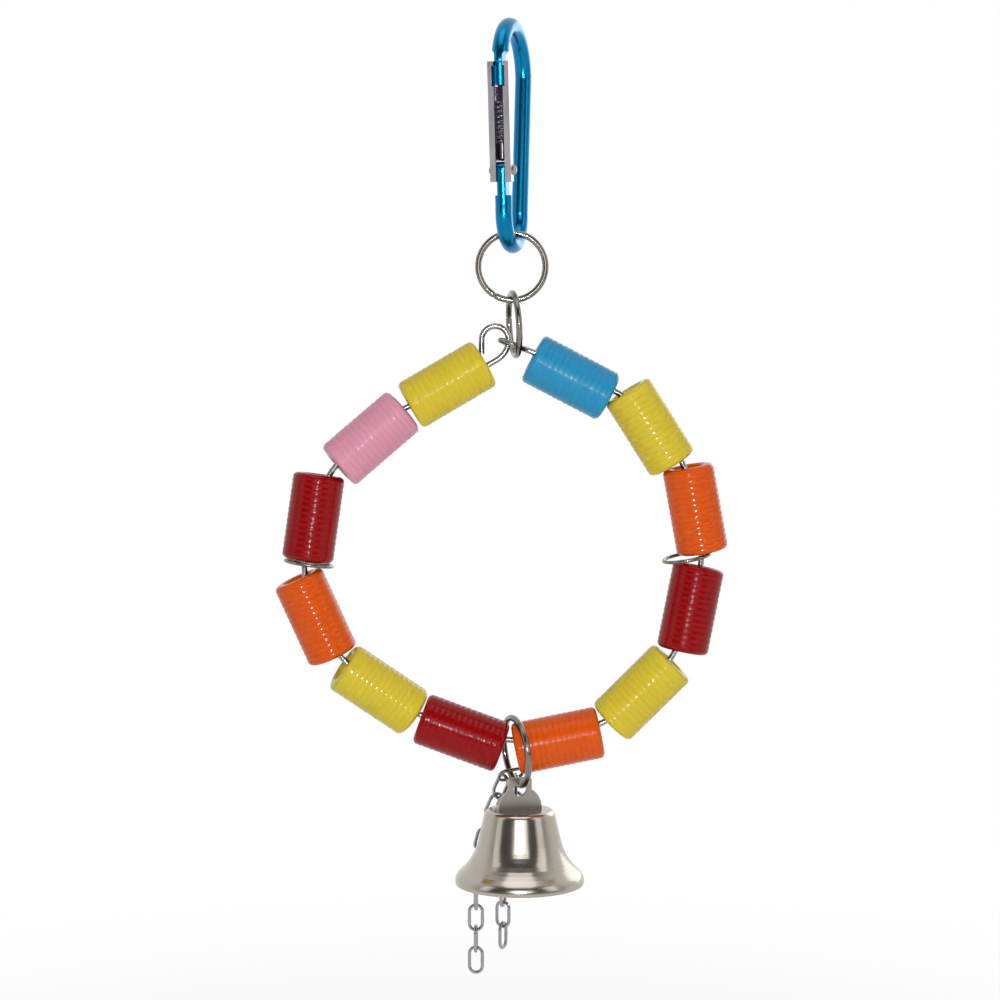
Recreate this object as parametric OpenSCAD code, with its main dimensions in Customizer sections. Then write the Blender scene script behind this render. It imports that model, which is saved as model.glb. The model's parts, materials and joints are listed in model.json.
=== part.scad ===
/* [Snap hook] */
// Thickness of the hook's round rod
rod_d = 3.4; // [2.8:0.1:3.8]
// Radius of the wide top bend, to the middle of the rod
top_bend_r = 9.5; // [9:0.1:11]
// Radius of the narrow bottom bend, to the middle of the rod
bottom_bend_r = 6.5; // [6:0.1:7.5]
// Distance between the middles of the two bends
bend_spacing = 28.4; // [27:0.1:34]
// Angle between the hook's flat side and the hoop's axis
hook_yaw = 15; // [0:1:30]

/* [Snap gate] */
// Width of the gate across its two cheeks
gate_w = 4.3; // [4.1:0.1:4.8]
// Length of the gate from its rivet to its tip
gate_reach = 21.4; // [20:0.1:22]
// Length of the gate below its rivet
gate_heel = 2.3; // [2.1:0.1:2.6]
// Width of the slot along the gate
gate_slot_w = 1.9; // [1.8:0.05:2.1]
// Thickness of the gate's closed back
gate_back = 0.9; // [0.7:0.05:1.1]
// Diameter of the gate's rivet
rivet_d = 1.3; // [1.1:0.05:1.5]
// Diameter of the rivet's domed heads
rivet_head_d = 2.2; // [1.9:0.05:2.6]
// Height of the rivet's domed heads
rivet_head_h = 0.75; // [0.5:0.05:0.9]
// Outer diameter of the gate's coil spring
spring_d = 1.6; // [1.5:0.05:1.7]
// Thickness of the spring's wire
spring_wire_d = 0.32; // [0.28:0.01:0.36]
// Number of turns of the spring
spring_turns = 8; // [7:1:9]

/* [Rings] */
// Outer diameter of the ring on the hook
top_ring_d = 15; // [14:0.1:16]
// Outer diameter of the ring between the hook's ring and the hoop
connector_ring_d = 14; // [13.6:0.1:15]
// Outer diameter of the ring that holds the bell
bell_ring_d = 15; // [14.6:0.1:16]
// Wire thickness of these three rings
ring_wire_d = 1.3; // [1.1:0.05:1.4]
// Outer diameter of the two thin rings between beads
side_ring_d = 10.3; // [9.8:0.1:11]
// Wire thickness of the two thin rings
side_ring_wire_d = 0.75; // [0.6:0.05:0.8]

/* [Hoop wire] */
// Thickness of the hoop's wire
hoop_wire_d = 1.2; // [1:0.05:1.3]
// Radius of the round part of the wire's end eyes
eye_r = 2.4; // [2.3:0.05:2.7]
// Radius of the bends that lead into the crosswise eye
eye_throat_r = 1.5; // [1.2:0.05:1.8]

/* [Beads] */
// Length of a bead
bead_len = 17.7; // [16:0.1:19]
// Outer diameter of a bead
bead_d = 10.6; // [9:0.1:10.8]
// Diameter of a bead's bore
bead_bore_d = 5.4; // [5.2:0.05:5.8]
// Depth of the ribs round a bead
rib_depth = 0.12; // [0.05:0.01:0.2]
// Number of ribs round a bead
rib_count = 13; // [9:1:14]

/* [Bell] */
// Radius of the bell's mouth
bell_mouth_r = 13.1; // [12:0.1:14]
// Height of the bell without its hanger
bell_h = 14.9; // [13.5:0.1:17]
// Thickness of the bell's wall
bell_wall = 0.6; // [0.5:0.05:0.8]
// Thickness of the hanger plate
hanger_t = 0.8; // [0.6:0.05:0.9]
// Diameter of the hanger's hole
hanger_hole_d = 3; // [2.8:0.1:3.2]
// Diameter of the clapper's ball
clapper_d = 4.6; // [4:0.1:5.2]

/* [Chain] */
// Outside length of a chain link
link_len = 6; // [5.6:0.1:6.4]
// Outside width of a chain link
link_w = 3.5; // [3.3:0.1:3.8]
// Wire thickness of a chain link
link_wire_d = 0.7; // [0.6:0.05:0.75]

/* [Hidden] */

rod_fn = 48;
wire_fn = 20;
// Size of the ball where two steps of a wire meet, as a share of the wire's thickness
knuckle_share = 1.025;
rod_knuckle_share = 1.006;
// Overrun of a cut past the face that it opens
cut = 0.5;
// Gap between loose metal pieces that rest on each other
play = 0.1;

// Hook: both bends are joined by straight legs that touch them
rod_r = rod_d / 2;
top_bend_z = rod_r - top_bend_r;
bottom_bend_z = top_bend_z - bend_spacing;
leg_tilt = asin((top_bend_r - bottom_bend_r) / bend_spacing);
leg_len = bend_spacing * cos(leg_tilt);

// Gate: places along the gate's leg, counted upwards from the rivet
rivet_up = 7.1;
nose_neck_w = 1.6;
nose_head_w = 2.5;
nose_head_len = 3.6;
nose_round_r = 1.0;
nose_scoop_r = 1.1;
nose_lip = 0.85;
nose_neck_len = 1.1;
gate_play = 0.15;
gate_depth_out = 1.9;
pocket_w = nose_head_w + gate_play;
lug_t = gate_slot_w - gate_play;
lug_r = rod_r;
lug_len = 5;
rivet_play = 0.05;
head_top = gate_reach - nose_lip - gate_play;
head_bottom = head_top - nose_head_len;
pocket_bottom = head_bottom - 2 * gate_play;
stop_len = 2.8;
stop_bottom = pocket_bottom - stop_len;
stop_out = 0.6;
back_bottom = lug_r + 2 * gate_play;
plunger_len = 3.6;
plunger_bottom = lug_r + play;
spring_bottom = plunger_bottom + plunger_len;
spring_len = stop_bottom - spring_bottom;

// Rings: each hangs on the one above with the loose gap between them
ring_wire_r = ring_wire_d / 2;
top_ring_r = top_ring_d / 2 - ring_wire_r;
connector_ring_r = connector_ring_d / 2 - ring_wire_r;
bell_ring_r = bell_ring_d / 2 - ring_wire_r;
side_ring_r = (side_ring_d - side_ring_wire_d) / 2;
hook_floor_z = bottom_bend_z - bottom_bend_r + rod_r;
top_ring_z = hook_floor_z + play - (top_ring_r - ring_wire_r);
connector_top_z = top_ring_z - top_ring_r + ring_wire_d + play;
connector_lean = 4;
connector_yaw = 8.5;
connector_z = connector_top_z - connector_ring_r * cos(connector_lean);
connector_x = connector_ring_r * sin(connector_lean);

// Hoop: the wire rests on the connector ring with its crosswise eye
hoop_wire_r = hoop_wire_d / 2;
eye_slope = 20;
throat_turn = acos(eye_throat_r / (eye_throat_r + eye_r));
seat_to_mouth_share = 0.494;
seat_to_mouth = seat_to_mouth_share * (eye_throat_r + eye_r);
seat_off = (eye_throat_r + eye_r) * sin(throat_turn) - seat_to_mouth;
strand_y = sqrt(eye_r * eye_r - seat_off * seat_off) + hoop_wire_r;
ring_rise = connector_ring_r - sqrt(connector_ring_r * connector_ring_r - strand_y * strand_y);
seat_x = 2 * connector_x;
seat_z = connector_z - connector_ring_r * cos(connector_lean);
seat_gap = hoop_wire_r + ring_wire_r + ring_rise + play;
hoop_start = [
    seat_x + seat_gap * sin(eye_slope) + seat_to_mouth * cos(eye_slope),
    seat_z + seat_gap * cos(eye_slope) - seat_to_mouth * sin(eye_slope)
];

// The wire bends a little differently at each bead, clockwise from the crosswise eye
bend_turns = [11, 33, 29, 27, 32, 35, 18, 22, 40, 38, 30, -5];
pitch_shares = [1.05, 0.98, 1.015, 1.09, 0.98, 1.05, 0.95, 0.99, 1.045, 1.075, 1.05, 0.915];
bead_total = len(bend_turns);
mean_turn = 310 / bead_total;
room_share = 0.785;
even_pitch = bead_len + room_share * bead_d * tan(mean_turn / 2);

// Each bead hangs off the wire by a share of the slack in its bore, tips a little, and leans its further end forwards
bead_drop_shares = [-0.85, -0.65, -0.25, -0.2, -0.2, 0.25, 0.25, -0.05, 0, -0.3, -0.65, 0.25];
bead_tips = [-2, -10, -1, 5, 1, 1, -4, 1, 1, 8, 1, 3];
bead_leans = [-2, -4, -5, 1, -3, 0, -1, 9, 5, 0, -7, -3];
bead_r = bead_d / 2;
bead_bore_r = bead_bore_d / 2;
bead_slack = bead_bore_r - hoop_wire_r;
bead_edge_r = 1.1;
bore_edge = 0.3;

// Open eye at the other end of the wire, drawn in the hoop's own plane
open_eye_straight = 2.3;
open_eye_flank_r = 4.8;
open_eye_flank_turn = 60;
open_eye_r = 2.74;
open_eye_tail = 3;

// Thin rings under the ends of two beads
ring_right_bead = 2;
ring_left_bead = 9;
ring_right_shift = 3.4;
ring_left_shift = 0.4;
side_ring_gap = 0.2;

// Bell: hangs on its ring, which hangs over the two lowest beads
bell_ring_yaw = 20.5;
bell_ring_lean = 6;
bell_ring_shift = 1.5;
bell_ring_skew = 14;
bell_wire_z_drop = bell_ring_r * cos(bell_ring_lean);
hanger_web = 0.75;
hanger_neck_w = 5;
hanger_disc_r = 4.7;
hanger_hole_drop = hanger_hole_d / 2 - ring_wire_r - play;
hanger_hole_h = 4.2;
hanger_corner_r = 0.6;
tongue_w = 3;
tongue_len = 3.4;
tongue_hole_d = 1.7;
tongue_hole_drop = 2.2;
tab_reach = 1.4;
tab_h = 0.5;
clapper_wire_d = 0.8;
clapper_loop_r = 1.25;
clapper_drop = 9;
crown_round_r = 1.1;
crown_r = 7.15;
flank_slope = 13;
flank_len = 5;
flare_r = 10.5;
flare_turn = 37;
rim_r = 2.1;
rim_turn = 62;

/* Steps along a bent wire or a wall: each step is a length and the angle that it turns through. */
function step_end(p, s) =
    let (h = p[2], t = s[1], a = h + t / 2,
         chord = t == 0 ? s[0] : s[0] * sin(abs(t) / 2) / (abs(t) / 2 * PI / 180))
    [p[0] + chord * cos(a), p[1] + chord * sin(a), h + t];
function walk(start, steps, n) = n == 0 ? start : step_end(walk(start, steps, n - 1), steps[n - 1]);
function part_step(s, share) = [s[0] * share, s[1] * share];
function trail(start, steps, n) = concat([start], [
    for (i = [0 : len(steps) - 1]) let (p = walk(start, steps, i))
        for (j = [1 : steps[i][1] == 0 ? 1 : n]) step_end(p, part_step(steps[i], j / (steps[i][1] == 0 ? 1 : n)))
]);

// Path of the hoop's wire, one step for each bead
hoop_steps = [for (i = [0 : bead_total - 1]) [even_pitch * pitch_shares[i], -bend_turns[i]]];
hoop_pose = [hoop_start[0], hoop_start[1], -eye_slope];
open_eye_steps = [
    [open_eye_straight, 0],
    [open_eye_flank_r * open_eye_flank_turn * PI / 180, open_eye_flank_turn],
    [open_eye_r * PI, 180],
    [open_eye_tail, 0]
];
function wire_at(i) = walk(hoop_pose, hoop_steps, i);
function wire_mid(i) = step_end(wire_at(i), part_step(hoop_steps[i], 1 / 2));
function bead_pose(i) =
    let (m = wire_mid(i), h = m[2] + bead_tips[i], off = bead_slack * bead_drop_shares[i])
    [m[0] - off * sin(h), m[1] + off * cos(h), h];
function bead_end(i, side) =
    let (b = bead_pose(i)) [b[0] + side * bead_len / 2 * cos(b[2]), b[1] + side * bead_len / 2 * sin(b[2]), b[2]];

// Bell ring and bell
low_right = bead_end(5, 1);
low_left = bead_end(6, -1);
bell_ring_x = (low_right[0] + low_left[0]) / 2 + bell_ring_shift;
bell_ring_pivot_z = (low_right[1] + low_left[1]) / 2;
bell_ring_z = bell_ring_pivot_z - (bell_ring_r - ring_wire_r - bead_r / cos(bell_ring_skew) - play);
bell_x = bell_ring_x + bell_ring_r * sin(bell_ring_lean);
bell_wire_z = bell_ring_z - bell_wire_z_drop;
hanger_hole_z = bell_wire_z - hanger_hole_drop;
crown_z = hanger_hole_z - hanger_hole_h;
bell_back = [-sin(bell_ring_yaw), cos(bell_ring_yaw), 0];
bell_side = [cos(bell_ring_yaw), sin(bell_ring_yaw), 0];

// Outline of the bell's outside, from the edge of its flat crown to the rim, scaled to its mouth
crown_flat = crown_r - crown_round_r;
bell_steps = [
    [crown_round_r * (90 - flank_slope) * PI / 180, flank_slope - 90],
    [flank_len, 0],
    [flare_r * flare_turn * PI / 180, flare_turn],
    [rim_r * rim_turn * PI / 180, -rim_turn]
];
bell_trail = trail([crown_flat, 0, 0], bell_steps, 8);
bell_raw_end = bell_trail[len(bell_trail) - 1];
bell_w_scale = (bell_mouth_r - crown_flat) / (bell_raw_end[0] - crown_flat);
bell_h_scale = bell_h / -bell_raw_end[1];
function bell_outer(k) = [crown_flat + (bell_trail[k][0] - crown_flat) * bell_w_scale, bell_trail[k][1] * bell_h_scale];
bell_points = [for (k = [0 : len(bell_trail) - 1]) bell_outer(k)];
function across(k) =
    let (a = bell_points[max(k - 1, 0)], b = bell_points[min(k + 1, len(bell_points) - 1)], d = b - a)
    [d[1], -d[0]] / norm(d);
bell_inner = [for (k = [1 : len(bell_points) - 1]) bell_points[k] + across(k) * bell_wall];

// Chain: the middle link hangs on the bell ring behind the hanger, and two tails drape over the bell
link_wire_r = link_wire_d / 2;
link_bend_r = link_w / 2 - link_wire_r;
link_half = link_len / 2 - link_wire_r;
chain_play = 0.16;
link_pitch = link_len - 2 * link_wire_d - chain_play;
chain_beta = 40;
ring_in = -sin(chain_beta) * bell_back + cos(chain_beta) * [-sin(bell_ring_lean), 0, cos(bell_ring_lean)];
chain_wire_point = [bell_ring_x, 0, bell_ring_z] - bell_ring_r * ring_in;
middle_link_drop = link_w / 2 - link_wire_d - ring_wire_r - play;
middle_link_at = chain_wire_point - middle_link_drop * ring_in;
chain_stand = 2.15;
crown_drop = 1.3;
rim_rise = 1.2;
left_crown_turn = 39;
left_rim_turn = 36;
right_crown_turn = 5;
right_rim_turn = 12.5;
near_share = 0.3;
tail_twist = 5;
function around_bell(turn, r, z) = [bell_x - r * sin(turn), r * cos(turn), crown_z + z];
function route(crown_turn, rim_turn) = [
    around_bell(crown_turn, crown_r + chain_stand, -crown_drop),
    around_bell(rim_turn, bell_mouth_r + chain_stand, rim_rise - bell_h)
];
tail_drop = link_bend_r - (link_wire_d + chain_play) / 2;
left_start = middle_link_at - bell_side * (link_half - link_bend_r) - ring_in * tail_drop;
right_start = middle_link_at + bell_side * (link_half - link_bend_r) - ring_in * tail_drop;
left_route = route(left_crown_turn, left_rim_turn);
right_route = route(right_crown_turn, right_rim_turn);

// Each link heads for the next guide point until it is near its height, then hangs straight down
function unit(v) = v / norm(v);
function link_way(p, guides, k = 0) =
    k == len(guides) ? [0, 0, -1]
    : p[2] - guides[k][2] < near_share * link_pitch ? link_way(p, guides, k + 1)
    : unit(guides[k] - p);
function tail_at(start, guides, i) =
    i == 0 ? start : let (p = tail_at(start, guides, i - 1)) p + link_pitch * link_way(p, guides);

/* Shared shapes */

// Part of a round ring in the XZ plane, from one angle to another, counted from +X towards +Z
module bend(r, wire, from, to, fn = wire_fn) {
    rotate([90, 0, 0])
        rotate([0, 0, from])
            rotate_extrude(angle = to - from, $fn = 3 * fn)
                translate([r, 0])
                    circle(d = wire, $fn = fn);
}

// Whole round ring in the XZ plane
module ring(r, wire) {
    rotate([90, 0, 0])
        rotate_extrude($fn = 4 * wire_fn)
            translate([r, 0])
                circle(d = wire, $fn = wire_fn);
}

// One step of a bent wire that lies in the XZ plane
module wire_step(p, s, wire) {
    if (s[1] == 0) {
        translate([p[0], 0, p[1]])
            rotate([0, 90 - p[2], 0])
                cylinder(h = s[0], d = wire, $fn = wire_fn);
    } else {
        r = s[0] / (abs(s[1]) * PI / 180);
        side = sign(s[1]);
        translate([p[0] - side * r * sin(p[2]), 0, p[1] + side * r * cos(p[2])])
            bend(r, wire, side > 0 ? p[2] - 90 : p[2] + 90 + s[1], side > 0 ? p[2] - 90 + s[1] : p[2] + 90);
    }
}

module bent_wire(start, steps, wire) {
    for (i = [0 : len(steps) - 1]) {
        wire_step(walk(start, steps, i), steps[i], wire);
        wire_knuckle(walk(start, steps, i), wire);
    }
}

// Barely thicker ball where two steps of a wire meet
module wire_knuckle(p, wire) {
    translate([p[0], 0, p[1]])
        sphere(d = wire * knuckle_share, $fn = wire_fn);
}

// Half sphere cap with its flat face on z = 0
module dome(d, h) {
    sphere_r = (d * d / 4 + h * h) / (2 * h);
    intersection() {
        translate([0, 0, h - sphere_r])
            sphere(r = sphere_r, $fn = wire_fn);
        cylinder(h = d, d = 2 * d, $fn = wire_fn);
    }
}

/* Snap hook */

module hook_frame() {
    rotate([0, 0, 90 - hook_yaw])
        children();
}

// Frame of the gate's leg: +Z runs up the leg from the rivet and +X points into the hook
module gate_frame() {
    leg_foot = [-bottom_bend_r * cos(leg_tilt), 0, bottom_bend_z + bottom_bend_r * sin(leg_tilt)];
    translate(leg_foot)
        rotate([0, -leg_tilt, 0])
            translate([0, 0, rivet_up])
                children();
}

// Outline of the nose as the gate's slot sees it: neck, then the wider head
module nose_cutters() {
    side_w = rod_d;
    for (side = [-1, 1]) {
        // scooped shoulder above the neck
        translate([side * (nose_neck_w / 2 + nose_scoop_r), head_top + nose_neck_len + nose_scoop_r])
            circle(r = nose_scoop_r, $fn = wire_fn);
        // straight neck
        translate([side * (nose_neck_w / 2 + side_w / 2), head_top + (nose_neck_len + nose_scoop_r) / 2])
            square([side_w, nose_neck_len + nose_scoop_r], center = true);
        // sides of the head
        translate([side * (nose_head_w / 2 + side_w / 2), (head_top + head_bottom) / 2])
            square([side_w, nose_head_len + 2 * cut], center = true);
        // rounded corners at the bottom of the head
        difference() {
            translate([side * nose_head_w / 2, head_bottom])
                square(2 * nose_round_r, center = true);
            translate([side * (nose_head_w / 2 - nose_round_r), head_bottom + nose_round_r])
                circle(r = nose_round_r, $fn = wire_fn);
            translate([side * (nose_head_w / 2 - nose_round_r) - nose_round_r, head_bottom])
                square([2 * nose_round_r, 3 * nose_round_r]);
        }
    }
}

// Barely thicker ball where a leg meets a bend
module rod_knuckle(x, z) {
    translate([x, 0, z])
        sphere(d = rod_d * rod_knuckle_share, $fn = rod_fn);
}

module carabiner_body() {
    color("#1a7fae")
        hook_frame()
            difference() {
                union() {
                    translate([0, 0, top_bend_z])
                        bend(top_bend_r, rod_d, leg_tilt, 180 - leg_tilt, rod_fn);
                    translate([0, 0, bottom_bend_z])
                        bend(bottom_bend_r, rod_d, 180 - leg_tilt, 360 + leg_tilt, rod_fn);
                    // closed leg
                    translate([bottom_bend_r * cos(leg_tilt), 0, bottom_bend_z + bottom_bend_r * sin(leg_tilt)])
                        rotate([0, leg_tilt, 0])
                            cylinder(h = leg_len, d = rod_d, $fn = rod_fn);
                    for (side = [-1, 1]) {
                        rod_knuckle(side * top_bend_r * cos(leg_tilt), top_bend_z + top_bend_r * sin(leg_tilt));
                        rod_knuckle(side * bottom_bend_r * cos(leg_tilt), bottom_bend_z + bottom_bend_r * sin(leg_tilt));
                    }
                    // foot of the gate's leg, and its round-ended lug
                    gate_frame() {
                        translate([0, 0, -rivet_up])
                            cylinder(h = rivet_up - lug_len, d = rod_d, $fn = rod_fn);
                        intersection() {
                            translate([0, 0, -lug_len])
                                cylinder(h = lug_len + lug_r, d = rod_d, $fn = rod_fn);
                            rotate([90, 0, 0])
                                linear_extrude(lug_t, center = true) {
                                    circle(r = lug_r, $fn = rod_fn);
                                    translate([-lug_r, -lug_len])
                                        square([2 * lug_r, lug_len]);
                                }
                        }
                        // nose
                        translate([0, 0, head_bottom])
                            cylinder(h = leg_len - rivet_up - head_bottom, d = rod_d, $fn = rod_fn);
                    }
                }
                gate_frame() {
                    rotate([90, 0, 0])
                        cylinder(h = 2 * rod_d, d = rivet_d + 2 * rivet_play, center = true, $fn = wire_fn);
                    rotate([90, 0, 90])
                        linear_extrude(2 * rod_d, center = true)
                            nose_cutters();
                }
            }
}

// Slot from the gate's open side down to a floor at the depth x
module gate_slot(w, floor_x, from, to) {
    translate([-gate_depth_out - cut, -w / 2, from])
        cube([gate_depth_out + cut + floor_x, w, to - from]);
}

module gate_channel() {
    back_x = gate_w / 2 - gate_back;
    color("#b9b7b8")
        hook_frame()
            gate_frame()
                difference() {
                    translate([0, 0, -gate_heel])
                        linear_extrude(gate_heel + gate_reach) {
                            circle(d = gate_w, $fn = rod_fn);
                            translate([-gate_depth_out, -gate_w / 2])
                                square([gate_depth_out, gate_w]);
                        }
                    // narrow lip that the nose hooks behind, then the pocket for its head
                    gate_slot(nose_neck_w + gate_play, gate_w, gate_reach - nose_lip - cut, gate_reach + cut);
                    gate_slot(pocket_w, rod_r + gate_play, pocket_bottom, gate_reach - nose_lip);
                    // slot for the spring, with the stop left standing above it
                    gate_slot(gate_slot_w, -stop_out, stop_bottom, pocket_bottom + cut);
                    gate_slot(gate_slot_w, back_x, back_bottom, stop_bottom);
                    // the back is cut away round the lug
                    gate_slot(gate_slot_w, gate_w, -gate_heel - cut, back_bottom);
                    rotate([90, 0, 0])
                        cylinder(h = 2 * gate_w, d = rivet_d, center = true, $fn = wire_fn);
                }
}

module gate_rivet() {
    color("#c9c7c4")
        hook_frame()
            gate_frame()
                rotate([90, 0, 0]) {
                    cylinder(h = gate_w, d = rivet_d, center = true, $fn = wire_fn);
                    for (side = [0, 180])
                        rotate([side, 0, 0])
                            translate([0, 0, gate_w / 2])
                                dome(rivet_head_d, rivet_head_h);
                }
}

module gate_plunger() {
    nose_h = spring_d / 4;
    color("#a8a6a8")
        hook_frame()
            gate_frame()
                translate([0, 0, plunger_bottom]) {
                    translate([0, 0, nose_h])
                        cylinder(h = plunger_len - nose_h, d = spring_d, $fn = wire_fn);
                    translate([0, 0, nose_h])
                        rotate([180, 0, 0])
                            dome(spring_d, nose_h);
                }
}

// Spring: one unbroken round tube, straight for a wire's thickness at each end
spring_sides = 6;
spring_rings = 8;
spring_coil_r = (spring_d - spring_wire_d) / 2;
spring_pitch = (spring_len - 2 * spring_wire_d) / spring_turns;
spring_steps = spring_turns * spring_rings;
function spring_mid(k) =
    let (a = 360 * k / spring_rings)
    [spring_coil_r * cos(a), spring_coil_r * sin(a), spring_wire_d + spring_pitch * k / spring_rings];
spring_line = concat(
    [spring_mid(0) - [0, 0, spring_wire_d]],
    [for (k = [0 : spring_steps]) spring_mid(k)],
    [spring_mid(spring_steps) + [0, 0, spring_wire_d]]
);
function tube_ring(line, k, r, sides) =
    let (last = len(line) - 1,
         t = k == 0 || k == last ? [0, 0, 1] : unit(unit(line[k + 1] - line[k]) + unit(line[k] - line[k - 1])),
         out = unit([line[k][0], line[k][1], 0]),
         side = unit(cross(t, out)),
         up = cross(side, t))
    [for (j = [0 : sides - 1]) line[k] + r * (cos(360 * j / sides) * up + sin(360 * j / sides) * side)];
module tube(line, r, sides) {
    last = len(line) - 1;
    points = [for (k = [0 : last]) each tube_ring(line, k, r, sides)];
    walls = [for (k = [0 : last - 1], j = [0 : sides - 1])
        let (a = k * sides + j, b = k * sides + (j + 1) % sides)
        each [[a, b, b + sides], [a, b + sides, a + sides]]];
    start_cap = [for (j = [1 : sides - 2]) [0, j + 1, j]];
    end_cap = [for (j = [1 : sides - 2]) [last * sides, last * sides + j, last * sides + j + 1]];
    polyhedron(points = points, faces = [for (f = concat(walls, start_cap, end_cap)) [f[0], f[2], f[1]]], convexity = 10);
}
spring_gap = min([for (i = [0 : spring_steps - spring_rings + 2], j = [i + spring_rings - 2 : spring_steps])
    norm(spring_mid(i) - spring_mid(j))]) - spring_wire_d;

module gate_spring() {
    echo(least_gap_of_the_spring_to_itself = spring_gap);
    color("#8f8d90")
        hook_frame()
            gate_frame()
                translate([0, 0, spring_bottom])
                    tube(spring_line, spring_wire_d / 2, spring_sides);
}

/* Rings */

module top_ring() {
    color("#b7b2a8")
        translate([0, 0, top_ring_z])
            ring(top_ring_r, ring_wire_d);
}

module connector_ring() {
    color("#b7b2a8")
        translate([connector_x, 0, connector_z])
            rotate([0, -connector_lean, 0])
                rotate([0, 0, 90 + connector_yaw])
                    ring(connector_ring_r, ring_wire_d);
}

// Thin ring under the lower end of the bead above it
module side_ring(i, side, shift) {
    color("#b4b0a6")
        bead_frame(i)
            translate([shift, 0, side * (bead_len / 2 + side_ring_gap + side_ring_wire_d / 2)])
                rotate([90, 0, 0])
                    ring(side_ring_r, side_ring_wire_d);
}

module bell_ring() {
    color("#b7b2a8")
        translate([bell_ring_x, 0, bell_ring_z])
            rotate([0, -bell_ring_lean, 0])
                rotate([0, 0, 90 + bell_ring_yaw])
                    ring(bell_ring_r, ring_wire_d);
}

/* Hoop */

// Crosswise eye: the wire opens into a loop that lies across the hoop and closes on itself
module cross_eye() {
    throat = [eye_throat_r * throat_turn * PI / 180, throat_turn];
    loop = [eye_r * (180 + 2 * throat_turn) * PI / 180, -(180 + 2 * throat_turn)];
    translate([hoop_start[0], 0, hoop_start[1]])
        rotate([0, eye_slope, 0])
            rotate([90, 0, 0])
                bent_wire([0, 0, 180], [throat, loop], hoop_wire_d);
}

module hoop_wire() {
    color("#c3c2c0") {
        cross_eye();
        bent_wire(hoop_pose, hoop_steps, hoop_wire_d);
        bent_wire(wire_at(bead_total), open_eye_steps, hoop_wire_d);
    }
}

/* Beads */

rib_points = 4;
function bead_side(s) =
    let (flat_len = bead_len - 2 * bead_edge_r, n = rib_count * rib_points)
    [bead_r - rib_depth * (1 - cos(360 * s / rib_points)) / 2, -flat_len / 2 + flat_len * s / n];
bead_corner = [for (k = [0 : 4]) let (a = 90 * k / 5) [bead_r - bead_edge_r + bead_edge_r * sin(a), bead_edge_r * (1 - cos(a))]];
bead_outline = concat(
    [[bead_bore_r, bore_edge - bead_len / 2], [bead_bore_r + bore_edge, -bead_len / 2]],
    [for (p = bead_corner) [p[0], p[1] - bead_len / 2]],
    [for (s = [0 : rib_count * rib_points]) bead_side(s)],
    [for (k = [4 : -1 : 0]) [bead_corner[k][0], bead_len / 2 - bead_corner[k][1]]],
    [[bead_bore_r + bore_edge, bead_len / 2], [bead_bore_r, bead_len / 2 - bore_edge]]
);

module bead_frame(i) {
    p = bead_pose(i);
    translate([p[0], 0, p[1]])
        rotate([0, 90 - p[2], 0])
            rotate([bead_leans[i], 0, 0])
                children();
}

module bead(i, paint) {
    color(paint)
        bead_frame(i)
            rotate_extrude($fn = 2 * wire_fn)
                polygon(bead_outline);
}

/* Bell */

module bell_frame() {
    translate([bell_x, 0, crown_z])
        children();
}

module bell_shell() {
    slot_w = tongue_w + play;
    slot_t = hanger_t + play;
    color("#b5ad9f")
        bell_frame()
            difference() {
                rotate_extrude($fn = 4 * wire_fn)
                    polygon(concat(
                        [[0, 0]], bell_points,
                        [for (k = [len(bell_inner) - 1 : -1 : 0]) bell_inner[k]],
                        [[crown_flat, -bell_wall], [0, -bell_wall]]
                    ));
                rotate([0, 0, bell_ring_yaw])
                    translate([-slot_w / 2, -slot_t / 2, -bell_wall - cut])
                        cube([slot_w, slot_t, bell_wall + 2 * cut]);
            }
}

// Flat hanger: a half disc that stands on the crown, a neck with the hole, and a tongue through the crown
module bell_hanger() {
    neck_top = hanger_hole_h + hanger_hole_d / 2 + hanger_web;
    color("#a89f92")
        bell_frame()
            rotate([90, 0, bell_ring_yaw]) {
                linear_extrude(hanger_t, center = true)
                    difference() {
                        union() {
                            intersection() {
                                circle(r = hanger_disc_r, $fn = 2 * wire_fn);
                                translate([-hanger_disc_r, 0])
                                    square([2 * hanger_disc_r, hanger_disc_r]);
                            }
                            translate([-hanger_neck_w / 2, 0])
                                square([hanger_neck_w, neck_top - hanger_corner_r]);
                            translate([-hanger_neck_w / 2 + hanger_corner_r, 0])
                                square([hanger_neck_w - 2 * hanger_corner_r, neck_top]);
                            for (side = [-1, 1])
                                translate([side * (hanger_neck_w / 2 - hanger_corner_r), neck_top - hanger_corner_r])
                                    circle(r = hanger_corner_r, $fn = wire_fn);
                            translate([-tongue_w / 2, -tongue_len])
                                square([tongue_w, tongue_len + cut]);
                        }
                        translate([0, hanger_hole_h])
                            circle(d = hanger_hole_d, $fn = wire_fn);
                        translate([0, -tongue_hole_drop])
                            circle(d = tongue_hole_d, $fn = wire_fn);
                    }
                // tabs folded out under the crown
                for (side = [-1, 1])
                    translate([side * tongue_w / 2 - tab_h / 2, -bell_wall - tab_h, side > 0 ? 0 : -tab_reach])
                        cube([tab_h, tab_h, tab_reach]);
            }
}

clapper_z = -tongue_hole_drop - tongue_hole_d / 2 + clapper_wire_d / 2 + play;
module bell_clapper() {
    color("#9d978c")
        bell_frame()
            rotate([0, 0, bell_ring_yaw])
                translate([0, 0, clapper_z]) {
                    translate([0, 0, -clapper_loop_r])
                        rotate([0, 0, 90])
                            ring(clapper_loop_r, clapper_wire_d);
                    translate([0, 0, -clapper_drop])
                        cylinder(h = clapper_drop - 2 * clapper_loop_r, d = clapper_wire_d, $fn = wire_fn);
                    translate([0, 0, -clapper_drop])
                        sphere(d = clapper_d, $fn = 2 * wire_fn);
                }
}

/* Chain */

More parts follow.
